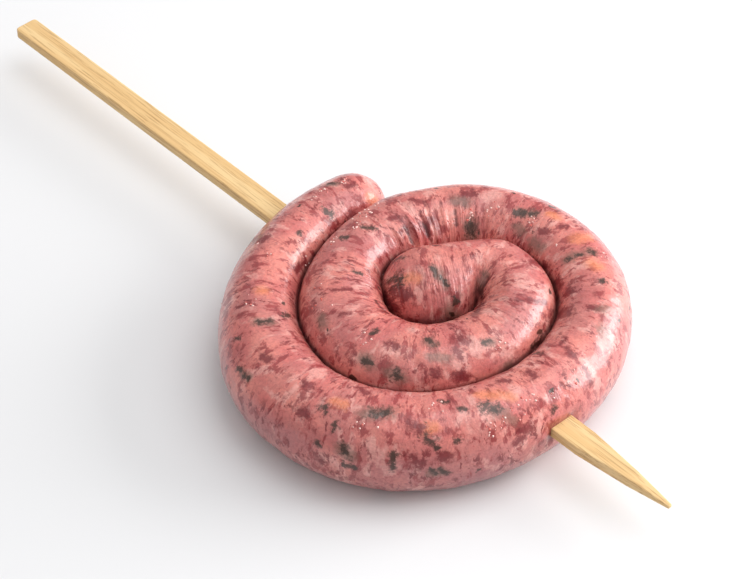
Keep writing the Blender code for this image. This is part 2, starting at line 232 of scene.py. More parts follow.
# Strokes where the photograph doesn't look
HIDDEN_STROKES = {"herb": 34, "grey": 16, "lean": 30, "orange": 6, "fat": 10, "fold": 0}
PIXEL_LENGTH = 0.00026      # length of a pixel on the sausage
STROKE_LENGTHS = (0.6, 1.2)         # shares of the length of the stroke that is copied
FAR_OFF = 4.0               # half widths past which a stroke no longer counts
OFF_TABLE = 0.001
SEEN_WITHIN = 0.0008        # a ray that ends this close to a point sees it
SEED = 7

# Zones of pleats in the casing, which run across the tube: pixel, reach along and around the
# tube, width of a pleat and its depth
PLEATS = (
    (482, 300, 0.0110, 0.0120, 0.0012, 0.00085), (446, 284, 0.0070, 0.0090, 0.0017, 0.00035),
    (414, 232, 0.0060, 0.0060, 0.0030, 0.00190), (436, 232, 0.0050, 0.0070, 0.0032, 0.00170),
    (470, 232, 0.0080, 0.0050, 0.0040, 0.00060), (362, 271, 0.0042, 0.0055, 0.0013, 0.00035),
    (396, 292, 0.0050, 0.0060, 0.0030, 0.00050), (510, 300, 0.0080, 0.0070, 0.0030, 0.00016),
)
PLEAT_EDGE = 0.02           # share of a zone's strength below which it has no pleats
PLEAT_STRETCH = 0.18        # a pleat's noise changes this much slower around the tube
PLEAT_SHIFT = 9000.0        # sets the noises of two zones apart by their depths
FINE_PLEAT = 0.5            # finer pleats on each pleat, as a share of its height
FINE_PLEAT_SCALE = 2.1

# Colours of the meat and its casing
SALMON = (0.760, 0.245, 0.200, 1.0)
ROSE = (0.620, 0.155, 0.140, 1.0)
MAUVE = (0.400, 0.135, 0.140, 1.0)
PALE_FAT = (0.860, 0.440, 0.385, 1.0)
LEAN_RED = (0.290, 0.022, 0.026, 1.0)
MAROON = (0.200, 0.012, 0.017, 1.0)
DEEP_RED = (0.070, 0.006, 0.008, 1.0)
HERB = (0.040, 0.013, 0.005, 1.0)
GREY_GREEN = (0.200, 0.110, 0.080, 1.0)
ORANGE = (0.860, 0.270, 0.120, 1.0)
GRAIN_TINT = (0.82, 0.80, 0.80, 1.0)
FAT_BEAD = (0.92, 0.58, 0.52, 1.0)
SPICE_BEAD = (0.70, 0.12, 0.09, 1.0)

# Noises of the casing: waves in a metre, detail and roughness
FRAY = (520.0, 4.0, 0.6)
TORN_EDGE = (760.0, 4.0, 0.7)
VESSELS = (210.0, 3.0, 0.6)
GRAIN = (1500.0, 2.0, 0.6)
BITS = (620.0, 3.0, 0.6)
FINE_CREASES = (1250.0, 3.0, 0.5)

# Layers of the meat: the same three, then the noise's values at which a layer starts and is full
ROSE_LAYER = (90.0, 3.0, 0.55, 0.36, 0.66)
DULL_LAYER = (70.0, 2.0, 0.5, 0.42, 0.66)
FAT_LAYER = (300.0, 3.0, 0.55, 0.53, 0.66)
LEAN_LAYER = (380.0, 5.0, 0.66, 0.51, 0.61)
SPECK_GROUPS = (130.0, 2.0, 0.5, 0.40, 0.60)
SPECK_LAYER = (760.0, 4.0, 0.65, 0.53, 0.62)

# How strongly each colours the meat; the low side, pierced and crease shares are painted shade
DULL_SHARE = 0.45
LOW_SIDE_SHADE_SHARE = 0.55
FAT_SHARE = 0.55
LEAN_SHARE = 0.82
SPECK_SHARE = 0.88
VESSEL_SHARE = 0.22
LEAF_SHARE = 0.92
PIERCED_SHADE = 0.45
CREASE_SHADE = 0.70

# Kinds of stroke: edge and its blur in half widths, how ragged the edge is and how strong it is
STROKE_LOOKS = {
    "herb": (1.05, 0.75, 6.0, LEAF_SHARE),
    "grey": (1.0, 0.8, 2.6, 0.65),
    "lean": (1.2, 0.75, 5.0, 0.90),
    "orange": (1.0, 0.9, 2.2, 0.65),
    "fat": (1.0, 0.7, 2.2, 0.6),
    # the fold strokes paint shade into the folds
    "fold": (1.0, 0.9, 3.0, 0.80),
}

# Warps that tear the patches: waves in a metre and how far they push
NOISE_MIDDLE = 0.5
WARP_DETAIL = 2.0
TEAR = (420.0, 0.0018)
FRAY_WARP = (900.0, 0.0006)
EDGE_WARP = (900.0, 0.0010)
VESSEL_WARP = (160.0, 0.010)
LEAF_WARP = (1100.0, 0.0016)

# Shifts that keep two noises apart, and stretches that draw a pattern out
NO_SHIFT = (0.0, 0.0, 0.0)
DULL_SHIFT = (0.4, 0.2, 0.1)
FAT_SHIFT = (0.6, 0.3, 0.2)
GROUP_SHIFT = (0.2, 0.8, 0.5)
SPECK_SHIFT = (0.9, 0.4, 0.2)
AROUND_TUBE = (1.0, 0.5, 0.5)
FINE_CREASE_STRETCH = (1.0, 0.12, 0.12)

# Other values of the casing's finish
LOW_SIDE_SHADE = (0.009, -0.007)  # height over the tube's middle where the painted shade on its lower side starts and is full
VESSEL_WIDTH = (0.012, 0.003)       # how far the noise is from its middle at a vessel's edges
LEAF_CELLS = (300.0, 0.045, 0.20)   # cells in a metre, share of them with a leaf, and its size
SPOT_BLUR = 0.25            # share of a leaf's size
CHOICE_BLUR = 0.005         # keeps the choice of the cells from being a hard step
GRAIN_RANGE = (0.70, 0.30)
GRAIN_BUMP = 0.3
PLEATED_BUMP = 3.6          # fine creases where the casing is pleated
PLAIN_BUMP = 0.06           # and everywhere
CASING_BUMP = (0.00030, 0.55)       # depth and strength
BEAD_TONES = (0.45, 0.80)

# Bamboo, with the same kinds of value
BAMBOO = (0.80, 0.57, 0.29, 1.0)
BAMBOO_BAND = (0.73, 0.48, 0.22, 1.0)
BAMBOO_FIBRE = (0.52, 0.30, 0.12, 1.0)
BAMBOO_PORE = (0.36, 0.19, 0.07, 1.0)
FIBRES = (1500.0, 3.0, 0.6)
FIBRE_RANGE = (0.50, 0.66)
FIBRE_STRETCH = (0.012, 1.0, 1.0)
FIBRE_SHARE = 0.50
BAND_LAYER = (330.0, 2.0, 0.5, 0.35, 0.65)
BAND_SHIFT = (0.3, 0.0, 0.0)
BAND_STRETCH = (0.05, 1.0, 1.0)
PORE_LAYER = (3200.0, 2.0, 0.5, 0.56, 0.66)
PORE_SHIFT = (0.1, 0.2, 0.0)
PORE_STRETCH = (0.035, 1.0, 1.0)
PORE_SHARE = 0.55
MIDDLE_DARKENING = (0.036, 0.030)      # distance from the middle where the deep red darkening starts and is full
BAMBOO_BUMP = (0.00012, 0.6)

# Table, sky and lamps: a lamp's place, its size and its power
FLOOR_SIZE = 4.0
FLOOR_LEVEL = -0.0001
PALE_TABLE = (0.78, 0.78, 0.79, 1.0)
SKY_AT_SIDES = 0.28
SKY_ABOVE = 0.90
LAMPS = {
    "window": ((0.44, 0.77, 0.29), (0.78, 0.56), 11.5),
    "overhead": ((0.18, 0.38, 0.95), (0.90, 0.90), 4.4),
}
LAMP_AIM = Vector((0.0, 0.0, 0.01))


def bend_radius(turned):
    """Radius of the route after it has turned through this many turns."""
    coil = COIL_START + COIL_PITCH * turned
    coil += FRONT_WIDENING * math.exp(-(((turned - 0.5) / WIDENING_REACH) ** 2))
    share = 1.0 - math.exp(-((turned / BEND_BLEND) ** 2))
    return FIRST_BEND + (coil - FIRST_BEND) * share


def left_of(travel):
    """Unit vectors to the left of the travel, which is outward on this coil."""
    left = np.stack([-travel[:, 1], travel[:, 0]], axis=1)
    return left / np.linalg.norm(left, axis=1)[:, None]


def ray_to(line, start, ray, wanted=None):
    """Distance along a ray to a line of points, and the place in the line where it hits."""
    offset = line - start
    away = offset @ ray
    aside = offset[:, 0] * ray[1] - offset[:, 1] * ray[0]
    crossing = aside[:-1] * aside[1:] <= 0.0
    share = np.abs(aside[:-1]) / np.maximum(np.abs(aside[:-1]) + np.abs(aside[1:]), TINY)
    reach = away[:-1] + (away[1:] - away[:-1]) * share
    crossing &= reach > 0.0
    if wanted is not None:
        crossing &= wanted[:-1]
    if not crossing.any():
        return NO_HIT, None
    hit = int(np.argmin(np.where(crossing, reach, NO_HIT)))
    return float(reach[hit]), hit


def soft_lower(a, b, blend=0.0002):
    """The lower of two sizes, with a rounded change from one to the other."""
    low, high = min(a, b), max(a, b)
    return low - blend * math.log(1.0 + math.exp(-(high - low) / blend))


def smooth_step(share):
    share = min(max(share, 0.0), 1.0)
    return share * share * (3.0 - 2.0 * share)


def pressed(room, natural):
    """Exponent of the section on a side, flatter where a neighbour presses on it."""
    return ROUND_FREE + (ROUND_PRESSED - ROUND_FREE) * smooth_step((natural - room) / PRESSED_BY)


class Route:
    """Centre line of the sausage, with its natural size at every point of it."""

    def __init__(self):
        self.trace()
        self.find_bends()
        self.set_sizes()
        self.outline_core()

    def trace(self):
        """Length, turns of heading, place and sideways direction along the route."""
        length, turned = 0.0, 0.0
        lengths, turns = [0.0], [0.0]
        while turned < TURNS:
            length += TRACE_STEP
            if length > STUB_LENGTH:
                turned += TRACE_STEP / (2.0 * math.pi * bend_radius(turned))
            lengths.append(length)
            turns.append(turned)
        self.lengths, self.turns = np.array(lengths), np.array(turns)
        self.heading = START_HEADING - 2.0 * math.pi * self.turns
        steps = np.stack([np.cos(self.heading), np.sin(self.heading)], axis=1) * TRACE_STEP
        along = np.array([math.cos(STRETCH_HEADING), math.sin(STRETCH_HEADING)])
        pull = (1.0 - STRETCH) * np.eye(2) + 2.0 * STRETCH * np.outer(along, along)
        steps = steps @ pull
        self.spread = (1.0 - STRETCH ** 2) * TRACE_STEP / np.linalg.norm(steps, axis=1)
        self.place = np.vstack([[0.0, 0.0], np.cumsum(steps[:-1], axis=0)])
        late = (self.turns - (TURNS - END_DRIFT_TURNS)) / END_DRIFT_TURNS
        self.late = np.clip(late, 0.0, 1.0) ** 2
        drift = FRONT_DRIFT * np.exp(-((self.turns - 0.5) / FRONT_DRIFT_TURNS) ** 2)
        drift += END_DRIFT * self.late
        past = (self.turns - SIDE_LEAN_AT) / SIDE_LEAN_TURNS
        drift -= SIDE_LEAN * np.sin(SIDE_LEAN_WAVE * past) * np.exp(-past ** 2)
        self.place -= left_of(steps) * drift[:, None]
        self.place -= self.place[round(STUB_TO_ORIGIN / TRACE_STEP)]
        self.across = left_of(np.gradient(self.place, axis=0))

    def find_bends(self):
        """Sharpest bend close to every point, in radians a metre."""
        angle = np.unwrap(np.arctan2(self.across[:, 1], self.across[:, 0]))
        bend = np.abs(np.gradient(angle)) / TRACE_STEP
        reach = round(BEND_WINDOW / TRACE_STEP)
        padded = np.pad(bend, reach, mode="edge")
        self.bend = np.max([padded[k:k + len(bend)] for k in range(2 * reach + 1)], axis=0)

    def set_sizes(self):
        swell = 1.0 + UNEVEN * np.sin(self.lengths / LONG_WAVE + LONG_PHASE)
        swell += SHORT_SHARE * UNEVEN * np.sin(self.lengths / SHORT_WAVE + SHORT_PHASE)
        swell += FRONT_SWELL * np.cos(self.heading - SWELL_HEADING) * np.minimum(self.turns, 1.0)
        fat_outer = (STUB_OUTER - HALF_WIDTH) * np.exp(-(self.turns / OUTER_FADE) ** 2)
        fat_inner = (STUB_INNER - HALF_WIDTH) * np.exp(-(self.turns / INNER_FADE) ** 2)
        self.outer = (HALF_WIDTH + fat_outer) * swell * self.spread
        self.inner = (HALF_WIDTH + fat_inner) * swell * self.spread
        outward = np.minimum(self.turns / NEXT_TURN, 1.0)
        inward = np.clip((self.turns - INNER_REACH_FROM) / INNER_REACH_OVER, 0.0, 1.0)
        self.reach_out = self.outer * (1.0 + PRESS_SPREAD * outward)
        self.reach_in = self.inner * (1.0 + PRESS_SPREAD * inward)
        self.height = HALF_HEIGHT + HEIGHT_FADE * (self.turns / TURNS - 0.5)
        self.height -= END_SLIMMING * self.late
        self.first_dome = (self.outer[0] + self.inner[0]) / 2.0
        self.last_dome = HALF_WIDTH

    def outline_core(self):
        """The firm inner end from above: its outer side, round the tip, then its inner side."""
        side_out, side_in = [], []
        for index in np.nonzero(self.turns <= CORE_TURNS)[0]:
            outer, inner = self.section(self.lengths[index])[:2]
            middle = (outer - inner) / 2.0
            reach = (outer + inner) / 2.0 * self.shrink(self.lengths[index])
            side_out.append(self.place[index] + self.across[index] * (middle + reach))
            side_in.append(self.place[index] + self.across[index] * (middle - reach))
        self.core_outline = np.array(side_out[::-1] + side_in)

    def shrink(self, length):
        """Share of the full section that is left in the round ends."""
        short = max((self.first_dome - length) / self.first_dome, 0.0)
        short = max((length - (self.lengths[-1] - self.last_dome)) / self.last_dome, short)
        return math.sqrt(max(1.0 - short * short, 0.0))

    def room(self, index, side):
        """Half width that one side would have (1 outward, -1 inward), and the room it has."""
        free = self.outer if side > 0 else self.inner
        if self.lengths[index] <= STUB_LENGTH:
            return free[index], NO_HIT
        own, other = self.reach_out, self.reach_in
        if side < 0:
            own, other = other, own
        start, ray = self.place[index], self.across[index] * side
        far = np.abs(self.turns - self.turns[index]) > NEXT_TURN
        past_core = side < 0 and self.turns[index] > NEXT_TURN
        if past_core:
            far &= self.turns > CORE_OVERLAP * CORE_TURNS
        natural, room = free[index], NO_HIT
        distance, hit = ray_to(self.place, start, ray, far)
        if hit is not None:
            natural = own[index]
            room = (distance - GAP) * own[index] / (own[index] + other[hit])
            firm = max(1.0 - self.turns[index] / CORE_TURNS, 0.0)
            room += firm * (own[index] - room)
        if past_core:
            distance, hit = ray_to(self.core_outline, start, ray)
            if hit is not None:
                natural = own[index]
                room = min(room, distance - GAP)
        return natural, room

    def section(self, length):
        """Half widths outward and inward, half height and how pressed each side is."""
        index = self.index(length)
        natural_out, room_out = self.room(index, 1)
        natural_in, room_in = self.room(index, -1)
        outer, inner = soft_lower(natural_out, room_out), soft_lower(natural_in, room_in)
        if length > STUB_LENGTH:
            inner = soft_lower(inner, FOLD_SHARE / max(self.bend[index], 1.0))
        else:
            late = smooth_step((length - (STUB_LENGTH - FOLD_RUN)) / FOLD_RUN)
            inner += (min(inner, FOLD_SHARE * FIRST_BEND) - inner) * late
        press_out, press_in = pressed(room_out, natural_out), pressed(room_in, natural_in)
        return outer, inner, self.height[index], press_out, press_in

    def index(self, length):
        return min(round(length / TRACE_STEP), len(self.lengths) - 1)

    def stations(self):
        """Places along the route that get a section."""
        total = self.lengths[-1]
        inside = int((total - self.first_dome - self.last_dome) / SECTION_STEP)
        rise = 1.0 - np.cos(np.pi / 2 * np.arange(1, DOME_RINGS + 1) / (DOME_RINGS + 0.5))
        middle = np.linspace(self.first_dome, total - self.last_dome, inside + 1)
        last = total - self.last_dome * rise[::-1]
        return np.concatenate([self.first_dome * rise, middle, last])


def section_points(outer, inner, height, press_out, press_in, shrink):
    """Outline across the route: sideways, positive outward, up from the table, and angle."""
    centre, rise = height * (1.0 - SAG), height * shrink
    middle = (outer - inner) / 2.0 * (1.0 - shrink)
    cut = min(centre / rise, LOWEST_START)
    start = -math.pi / 2 + math.acos(cut ** (press_out / 2.0))
    stop = 1.5 * math.pi - math.acos(cut ** (press_in / 2.0))
    angle = np.linspace(start, stop, SECTION_SIDES)
    side, up = np.cos(angle), np.sin(angle)
    power = np.where(side >= 0.0, 2.0 / press_out, 2.0 / press_in)
    reach = np.where(side >= 0.0, outer, inner) * shrink
    sideways = middle + np.sign(side) * np.abs(side) ** power * reach
    level = centre + np.sign(up) * np.abs(up) ** power * rise
    level[level < TABLE_SNAP] = 0.0
    return sideways, level, angle


def steady(values, spread=2.0, reach=6):
    """Values with the small jumps between neighbours smoothed out."""
    weights = np.exp(-0.5 * (np.arange(-reach, reach + 1) / spread) ** 2)
    weights /= weights.sum()
    return np.convolve(np.pad(values, reach, mode="edge"), weights, mode="valid")


class Tube:
    """Smooth tube of the sausage: its points, where each lies on the sausage, and its faces."""

    def __init__(self, route):
        lengths = route.stations()
        sizes = np.array([route.section(length) for length in lengths])
        for column in range(sizes.shape[1]):
            eased = steady(sizes[:, column])
            sizes[:, column] = np.minimum(eased, sizes[:, column]) if column < 2 else eased
        points, marks = [], []
        for length, size in zip(lengths, sizes):
            index = route.index(length)
            sideways, level, angle = section_points(*size, route.shrink(length))
            plan = route.place[index] + route.across[index] * sideways[:, None]
            points.append(np.column_stack([plan, level]))
            marks.append(np.column_stack([np.full(SECTION_SIDES, length), angle]))
        poles = []
        for index, size, ring in ((0, sizes[0], points[0]), (-1, sizes[-1], points[-1])):
            spot = route.place[index] + route.across[index] * (size[0] - size[1]) / 2.0
            poles.append([spot[0], spot[1], ring[:, 2].mean()])
            marks.append(np.array([[route.lengths[index], math.pi / 2]]))
        self.rings = len(points)
        self.total = float(route.lengths[-1])
        self.points = np.vstack(points + [np.array(poles)])
        self.length, self.angle = np.vstack(marks).T
        self.faces = self.list_faces()
        self.tree = BVHTree.FromPolygons(self.points.tolist(), self.faces)
        self.mesh = bpy.data.meshes.new("sausage_skin")
        self.mesh.from_pydata(self.points.tolist(), [], self.faces)
        self.mesh.update()
        normals = np.empty(len(self.points) * 3)
        self.mesh.vertices.foreach_get("normal", normals)
        self.normals = normals.reshape(-1, 3)

    def list_faces(self):
        faces = []
        for ring in range(self.rings - 1):
            base, following = ring * SECTION_SIDES, (ring + 1) * SECTION_SIDES
            for side in range(SECTION_SIDES):
                after = (side + 1) % SECTION_SIDES
                faces.append((base + side, base + after, following + after, following + side))
        first_pole = self.rings * SECTION_SIDES
        last = first_pole - SECTION_SIDES
        for side in range(SECTION_SIDES):
            after = (side + 1) % SECTION_SIDES
            faces.append((after, side, first_pole))
            faces.append((last + side, last + after, first_pole + 1))
        return faces

    def under_pixel(self, across, down):
        """Number of the tube's point that the photograph shows at a pixel."""
        place, _, face, _ = self.tree.ray_cast(CAMERA_PLACE, pixel_ray(across, down))
        if place is None:
            raise ValueError(f"no sausage under pixel {across}, {down}")
        corners = self.faces[face]
        away = [(self.points[corner] - np.array(place)) @ (self.points[corner] - np.array(place))
                for corner in corners]
        return corners[int(np.argmin(away))]

    def in_view(self, index):
        """Whether the camera sees this point of the tube."""
        point = Vector(self.points[index])
        ray = (point - CAMERA_PLACE).normalized()
        place = self.tree.ray_cast(CAMERA_PLACE, ray)[0]
        return place is not None and (place - point).length < SEEN_WITHIN

    def apart(self, index):
        """Distance of every point from this one along the tube and around it."""
        along = self.length - self.length[index]
        around = (self.angle - self.angle[index]) * AROUND
        return along, around


def camera_turn():
    aim = (CAMERA_TARGET - CAMERA_PLACE).to_track_quat("-Z", "Y").to_matrix()
    return aim @ Matrix.Rotation(CAMERA_ROLL, 3, "Z")


def pixel_ray(across, down):
    """Direction from the camera through a pixel of the photograph."""
    size = CAMERA_SENSOR / CAMERA_LENS / PHOTO_WIDTH
    x, y = (across - PHOTO_WIDTH / 2.0) * size, (PHOTO_HEIGHT / 2.0 - down) * size
    return (camera_turn() @ Vector((x, y, -1.0))).normalized()


def pleat_height(tube):
    """Height of the pleats at every point, and how pleated the casing is there."""
    out, share = np.zeros(len(tube.points)), np.zeros(len(tube.points))
    for across, down, reach_along, reach_around, width, depth in PLEATS:
        along, around = tube.apart(tube.under_pixel(across, down))
        zone = np.exp(-(along / reach_along) ** 2 - (around / reach_around) ** 2)
        for k in np.nonzero(zone > PLEAT_EDGE)[0]:
            across_pleats, along_pleats = along[k] / width, around[k] / width * PLEAT_STRETCH
            where = Vector((across_pleats, along_pleats, depth * PLEAT_SHIFT))
            ridge = noise.noise(where) + FINE_PLEAT * noise.noise(where * FINE_PLEAT_SCALE)
            out[k] += depth * zone[k] * ridge
        share = np.maximum(share, zone)
    return out, share


def skewer_distance(points):
    """Distance of every point from the skewer, seen along the skewer."""
    aside = np.maximum(np.abs(points[:, 1] - SKEWER_Y) - SKEWER_WIDTH / 2.0, 0.0)
    above = np.maximum(np.abs(points[:, 2] - SKEWER_HEIGHT) - SKEWER_THICKNESS / 2.0, 0.0)
    return np.hypot(aside, above)


def crease_shade_mask(tube):
    """Mask of painted crease shade: 1 where the casing meets the next turn or its own fold, and 0
    a little away from them.
    """
    depth = np.zeros(len(tube.points))
    for k, (point, normal) in enumerate(zip(tube.points.tolist(), tube.normals.tolist())):
        ray = Vector(normal)
        start = Vector(point) + ray * RAY_START
        place, facing, _, distance = tube.tree.ray_cast(start, ray, CREASE_VIEW)
        if place is not None:
            inside = facing.dot(ray) > 0.0
            depth[k] = 1.0 if inside else math.exp(-(distance / CREASE_REACH) ** 2)
    return depth


def shape_casing(tube):
    """Lumps of the mince, pleats and the draw of the skewer, worked into the smooth tube."""
    out, pleated = pleat_height(tube)
    straight = straight_place(tube)
    for k, place in enumerate(straight):
        around = Vector(place)
        small = SMALL_LUMP_SHARE * noise.noise(around * SMALL_LUMP_SCALE)
        out[k] += LUMP_DEPTH * (noise.noise(around * LUMP_SCALE) + small)
        out[k] += GRAIN_DEPTH * noise.noise(around * GRAIN_SCALE)
    skewer = skewer_distance(tube.points)
    out -= DIMPLE_DEPTH * np.exp(-(skewer / DIMPLE_REACH) ** 2)
    ends = np.minimum(tube.length, tube.total - tube.length) / END_EASE
    resting = np.clip(tube.points[:, 2] / TABLE_EASE, 0.0, 1.0)
    out = (out - INSET) * resting * np.clip(ends + END_RELIEF, 0.0, 1.0)
    moved = tube.points + tube.normals * out[:, None]
    low, high = (np.array(corner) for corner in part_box("sausage"))
    moved = np.clip(moved, low, high)
    tube.mesh.vertices.foreach_set("co", moved.ravel())
    tube.mesh.update()
    tube.shaped = moved
    mark(tube.mesh, "pleated", pleated)
    # painted shade around the dimples where the skewer goes through
    mark(tube.mesh, "skewer_shade", np.exp(-(skewer / DIMPLE_REACH) ** 2))
    # painted shade where the casing meets the next turn or its own fold
    mark(tube.mesh, "crease", crease_shade_mask(tube))
    layer = tube.mesh.attributes.new("straight", "FLOAT_VECTOR", "POINT")
    layer.data.foreach_set("vector", straight.ravel())


def straight_place(tube):
    """Where each point would lie if the tube were laid out straight."""
    return np.column_stack([tube.length, AROUND * np.cos(tube.angle), AROUND * np.sin(tube.angle)])


def mark(mesh, name, values):
    layer = mesh.attributes.new(name, "FLOAT", "POINT")
    layer.data.foreach_set("value", values)


def stroke_distance(points, start, end):
    """Distance of every point from the line between two places."""
    line = end - start
    share = np.clip((points - start) @ line / max(line @ line, TINY), 0.0, 1.0)
    return np.linalg.norm(points - start - share[:, None] * line, axis=1)


def paint_strokes(tube, name, strokes, hidden, draw):
    """Distance from the nearest stroke in its half widths, for the strokes of the photograph
    and as many more of their kind as are wanted where it doesn't look."""
    nearest = np.full(len(tube.points), FAR_OFF)
    for x0, y0, x1, y1, half_width in strokes:
        start, end = tube.points[tube.under_pixel(x0, y0)], tube.points[tube.under_pixel(x1, y1)]
        nearest = np.minimum(nearest, stroke_distance(tube.points, start, end) / half_width)
    for _ in range(hidden):
        index = hidden_point(tube, draw)
        x0, y0, x1, y1, half_width = draw.choice(strokes)
        run = math.hypot(x1 - x0, y1 - y0) * PIXEL_LENGTH * draw.uniform(*STROKE_LENGTHS)
        turn = draw.uniform(0.0, math.pi)
        along, around = tube.apart(index)
        aim = np.array([math.cos(turn), math.sin(turn)]) * run / 2.0
        distance = stroke_distance(np.column_stack([along, around]), -aim, aim)
        nearest = np.minimum(nearest, distance / half_width)
    mark(tube.mesh, name, nearest)


def hidden_point(tube, draw):
    """A point of the tube that the photograph doesn't show, off the table."""
    while True:
        index = draw.randrange(len(tube.points))
        if tube.points[index][2] > OFF_TABLE and not tube.in_view(index):
            return index


def build_beads(tube, draw):
    """Tiny beads half sunk in the casing, some in clusters where the photograph shows them."""
    spots = []
    for across, down, count, spread in BEADS:
        along, around = tube.apart(tube.under_pixel(across, down))
        near = np.nonzero(np.hypot(along, around * CLUSTER_SHAPE) < spread)[0]
        for _ in range(count):
            spots.append(int(near[int(draw.random() ** CLUSTER_CROWDING * len(near))]))
    spots += [hidden_point(tube, draw) for _ in range(HIDDEN_BEADS)]
    shape = bmesh.new()
    bmesh.ops.create_icosphere(shape, subdivisions=1, radius=1.0)
    ball = np.array([vertex.co[:] for vertex in shape.verts])
    corners = np.array([[vertex.index for vertex in face.verts] for face in shape.faces])
    shape.free()
    points, faces, tones = [], [], []
    for spot in spots:
        size = draw.uniform(*BEAD_SIZES)
        jitter = np.array([draw.uniform(-BEAD_JITTER, BEAD_JITTER) for _ in range(3)])
        jitter -= tube.normals[spot] * (jitter @ tube.normals[spot] + BEAD_SUNK * size)
        faces.append(corners + len(ball) * len(points))
        shape_of_bead = np.array([1.0, draw.uniform(BEAD_FLATTEST, 1.0), 1.0])
        points.append(tube.shaped[spot] + jitter + ball * size * shape_of_bead)
        tones.append(np.full(len(ball), draw.random()))
    mesh = bpy.data.meshes.new("casing_beads")
    mesh.from_pydata(np.vstack(points).tolist(), [], np.vstack(faces).tolist())
    mesh.update()
    mark(mesh, "tone", np.concatenate(tones))
    mesh.shade_smooth()
    return add_piece("casing_beads", mesh)


def add_piece(name, mesh):
    piece = bpy.data.objects.new(name, mesh)
    bpy.context.scene.collection.objects.link(piece)
    return piece


class Nodes:
    """Short way to write a node material."""

    def __init__(self, name):
        self.material = bpy.data.materials.new(name)
        self.material.use_nodes = True
        self.tree = self.material.node_tree
        self.shader = self.tree.nodes["Principled BSDF"]

    def add(self, kind, inputs=None, **settings):
        node = self.tree.nodes.new(kind)
        for key, value in settings.items():
            setattr(node, key, value)
        for key, value in (inputs or {}).items():
            self.feed(node.inputs[key], value)
        return node

    def feed(self, socket, value):
        if isinstance(value, bpy.types.NodeSocket):
            self.tree.links.new(value, socket)
        else:
            socket.default_value = value

    def set(self, **values):
        """Values that are the same all over the surface, on the shader's own sockets."""
        for name, value in values.items():
            self.shader.inputs[name.replace("_", " ")].default_value = value

    def attribute(self, name, output="Fac"):
        return self.add("ShaderNodeAttribute", attribute_name=name).outputs[output]

    def math(self, operation, a, b=0.0, clamp=False):
        node = self.add("ShaderNodeMath", {0: a, 1: b}, operation=operation, use_clamp=clamp)
        return node.outputs[0]

    def times(self, a, b):
        return self.math("MULTIPLY", a, b)

    def ramp(self, value, low, high):
        """Rises smoothly from 0 at low to 1 at high, or falls where low is above high."""
        node = self.add("ShaderNodeMapRange", {"Value": value}, interpolation_type="SMOOTHSTEP")
        start, stop = (0.0, 1.0) if low < high else (1.0, 0.0)
        node.inputs["From Min"].default_value = min(low, high)
        node.inputs["From Max"].default_value = max(low, high)
        node.inputs["To Min"].default_value = start
        node.inputs["To Max"].default_value = stop
        return node.outputs[0]

    def noise(self, where, scale, detail, rough):
        inputs = {"Vector": where, "Scale": scale, "Detail": detail, "Roughness": rough}
        return self.add("ShaderNodeTexNoise", inputs).outputs["Fac"]

    def layer(self, where, scale, detail, rough, low, high):
        """1 where a noise is high and 0 where it is low."""
        return self.ramp(self.noise(where, scale, detail, rough), low, high)

    def cells(self, where, scale, chosen, size):
        """Round spots in a share of the cells of a loose pattern."""
        cell = self.add("ShaderNodeTexVoronoi", {"Vector": where, "Scale": scale})
        kind = self.add("ShaderNodeSeparateColor", {"Color": cell.outputs["Color"]}).outputs["Red"]
        edge = size * (1.0 + SPOT_BLUR)
        spot = self.ramp(cell.outputs["Distance"], edge, size * (1.0 - SPOT_BLUR))
        return self.times(spot, self.ramp(kind, 1.0 - chosen, 1.0 + CHOICE_BLUR - chosen))

    def mix(self, share, a, b, blend="MIX"):
        node = self.add("ShaderNodeMix", data_type="RGBA", blend_type=blend)
        self.feed(node.inputs[0], share)
        self.feed(node.inputs[6], a)
        self.feed(node.inputs[7], b)
        return node.outputs[2]

    def shifted(self, where, by, stretch=(1.0, 1.0, 1.0)):
        node = self.add("ShaderNodeMapping", {"Vector": where, "Location": by, "Scale": stretch})
        return node.outputs[0]

    def warped(self, where, scale, amount):
        """The same coordinates, pushed about by a noise."""
        inputs = {"Vector": where, "Scale": scale, "Detail": WARP_DETAIL}
        push = self.add("ShaderNodeTexNoise", inputs).outputs["Color"]
        about_zero = {0: push, 1: (NOISE_MIDDLE, NOISE_MIDDLE, NOISE_MIDDLE)}
        centred = self.add("ShaderNodeVectorMath", about_zero, operation="SUBTRACT")
        sized = {0: centred.outputs[0], "Scale": amount}
        scaled = self.add("ShaderNodeVectorMath", sized, operation="SCALE")
        both = {0: where, 1: scaled.outputs[0]}
        return self.add("ShaderNodeVectorMath", both, operation="ADD").outputs[0]

    def stroke(self, name, fray):
        """Strength of the strokes of one kind, 0 away from them, with an edge a noise frays."""
        edge, blur, ragged, strength = STROKE_LOOKS[name]
        torn_off = self.times(self.math("SUBTRACT", fray, NOISE_MIDDLE), ragged)
        distance = self.math("ADD", self.attribute(name), torn_off)
        return self.times(self.ramp(distance, edge + blur, edge - blur), strength)

    def bump(self, height, distance, strength):
        inputs = {"Height": height, "Distance": distance, "Strength": strength}
        return self.add("ShaderNodeBump", inputs).outputs[0]


